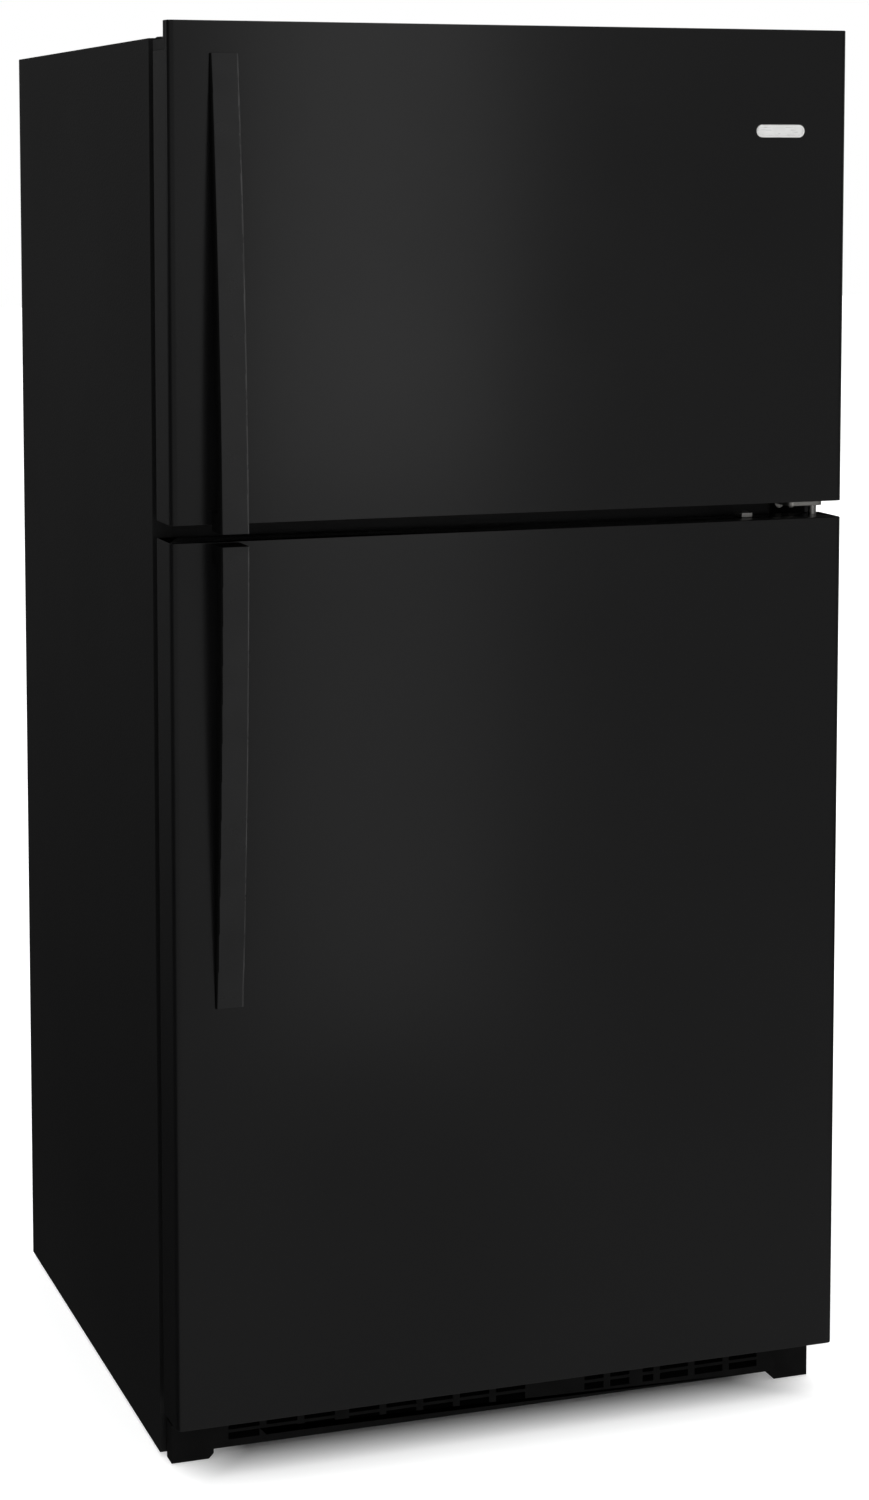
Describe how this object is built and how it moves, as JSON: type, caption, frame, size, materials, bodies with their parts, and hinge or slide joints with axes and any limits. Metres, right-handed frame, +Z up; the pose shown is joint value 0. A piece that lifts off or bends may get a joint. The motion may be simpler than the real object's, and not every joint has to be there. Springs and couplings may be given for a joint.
{
  "type": "top freezer refrigerator",
  "caption": "Free-standing top freezer refrigerator with right-hinged doors, bowed bar handles, toe grille, shelves, crispers and door bins.",
  "frame": {"origin": "on the floor, under the middle of the overall box, handles included", "axes": "+Z up, the doors face -Y, +X to the right of someone facing the doors"},
  "size_m": [0.832, 0.838, 1.668],
  "materials": {
    "painted_side": "satin",
    "painted_door": "gloss",
    "black_trim": "satin",
    "grille_plastic": "matte",
    "gasket_rubber": "matte",
    "white_liner": "satin",
    "white_small": "satin",
    "clear_plastic": "gloss",
    "shelf_pane": "gloss",
    "lamp_glass": "gloss",
    "lamp_lens": "satin",
    "zinc_steel": "satin",
    "galvanised": "satin",
    "foam": "matte",
    "wire_white": "gloss",
    "coil_aluminium": "satin",
    "black_steel": "gloss",
    "motor_plastic": "matte",
    "fan_plastic": "matte"
  },
  "bodies": {
    "cabinet": {"base_pan": "painted_side", "bottom_hinge": "zinc_steel", "cabinet_back": "galvanised", "cabinet_foam": "foam", "cabinet_top": "painted_side", "centre_hinge": "zinc_steel", "centre_rail": "painted_side", "compressor": "black_steel", "condenser_coil": "black_steel", "control_housing": "white_liner", "drain_pan": "motor_plastic", "evaporator": "coil_aluminium", "evaporator_cover": "white_liner", "fan_motors": "motor_plastic", "freezer_liner": "white_liner", "freezer_shelf": "wire_white", "fresh_food_liner": "white_liner", "hinge_screws": "zinc_steel", "left_side_panel": "painted_side", "light_bulb": "lamp_glass", "light_lens": "lamp_lens", "light_switch": "white_liner", "machine_tray": "galvanised", "power_inlet": "motor_plastic", "rear_cover": "galvanised", "right_side_panel": "painted_side", "shelf_frames": "white_small", "shelf_glass": "shelf_pane", "toe_grille": "grille_plastic", "top_hinge": "zinc_steel", "top_hinge_cover": "black_trim"},
    "freezer_door": {"freezer_door_panel": "painted_door", "freezer_door_caps": "black_trim", "freezer_door_foam": "foam", "freezer_door_liner": "white_liner", "freezer_door_gasket": "gasket_rubber", "freezer_door_handle": "black_trim", "freezer_door_bins": "clear_plastic"},
    "fresh_food_door": {"fresh_door_panel": "painted_door", "fresh_door_caps": "black_trim", "fresh_door_foam": "foam", "fresh_door_liner": "white_liner", "fresh_door_gasket": "gasket_rubber", "fresh_door_handle": "black_trim", "fresh_door_bins": "clear_plastic", "dairy_bin": "clear_plastic", "door_stop": "zinc_steel"},
    "dairy_cover": {"dairy_cover": "clear_plastic"},
    "left_crisper": {"left_crisper": "clear_plastic"},
    "right_crisper": {"right_crisper": "clear_plastic"},
    "deli_drawer": {"deli_drawer": "clear_plastic"},
    "evaporator_fan": {"evaporator_fan": "fan_plastic"},
    "condenser_fan": {"condenser_fan": "fan_plastic"},
    "left_roller": {"left_roller": "motor_plastic"},
    "right_roller": {"right_roller": "motor_plastic"},
    "left_levelling_leg": {"left_levelling_leg": "zinc_steel"},
    "right_levelling_leg": {"right_levelling_leg": "zinc_steel"},
    "fridge_knob": {"fridge_knob": "white_small"},
    "freezer_knob": {"freezer_knob": "white_small"},
    "light_switch_button": {"light_switch_button": "white_small"}
  },
  "joints": [
    {"name": "freezer_door_hinge", "type": "hinge", "parent": "cabinet", "child": "freezer_door", "pos_m": [0.396, -0.34, 1.3775], "axis": [0, 0, 1], "range_deg": [0, 120]},
    {"name": "fresh_food_door_hinge", "type": "hinge", "parent": "cabinet", "child": "fresh_food_door", "pos_m": [0.396, -0.34, 0.5745], "axis": [0, 0, 1], "range_deg": [0, 120]},
    {"name": "dairy_cover_hinge", "type": "hinge", "parent": "fresh_food_door", "child": "dairy_cover", "pos_m": [0, -0.3085, 0.829], "axis": [1, 0, 0], "range_deg": [0, 80]},
    {"name": "left_crisper_slide", "type": "slide", "parent": "cabinet", "child": "left_crisper", "axis": [0, -1, 0], "range_m": [0, 0.055]},
    {"name": "right_crisper_slide", "type": "slide", "parent": "cabinet", "child": "right_crisper", "axis": [0, -1, 0], "range_m": [0, 0.055]},
    {"name": "deli_drawer_slide", "type": "slide", "parent": "cabinet", "child": "deli_drawer", "axis": [0, -1, 0], "range_m": [0, 0.055]},
    {"name": "fridge_knob_turn", "type": "hinge", "parent": "cabinet", "child": "fridge_knob", "pos_m": [-0.08, -0.174, 1.041], "axis": [0, -1, 0], "range_deg": [0, 270]},
    {"name": "freezer_knob_turn", "type": "hinge", "parent": "cabinet", "child": "freezer_knob", "pos_m": [0.08, -0.174, 1.041], "axis": [0, -1, 0], "range_deg": [0, 270]},
    {"name": "light_switch_press", "type": "slide", "parent": "cabinet", "child": "light_switch_button", "axis": [0, 1, 0], "range_m": [0, 0.006], "stiffness_N_per_m": 150},
    {"name": "evaporator_fan_spin", "type": "hinge", "parent": "cabinet", "child": "evaporator_fan", "pos_m": [0, 0.3055, 1.489], "axis": [0, 1, 0], "continuous": true},
    {"name": "condenser_fan_spin", "type": "hinge", "parent": "cabinet", "child": "condenser_fan", "pos_m": [-0.062, 0.246, 0.15], "axis": [0, 1, 0], "continuous": true},
    {"name": "left_roller_spin", "type": "hinge", "parent": "cabinet", "child": "left_roller", "pos_m": [-0.368, 0.374, 0.02], "axis": [1, 0, 0], "continuous": true},
    {"name": "right_roller_spin", "type": "hinge", "parent": "cabinet", "child": "right_roller", "pos_m": [0.368, 0.374, 0.02], "axis": [1, 0, 0], "continuous": true},
    {"name": "left_leg_screw", "type": "slide", "parent": "cabinet", "child": "left_levelling_leg", "axis": [0, 0, -1], "range_m": [-0.006, 0.01]},
    {"name": "right_leg_screw", "type": "slide", "parent": "cabinet", "child": "right_levelling_leg", "axis": [0, 0, -1], "range_m": [-0.006, 0.01]}
  ]
}
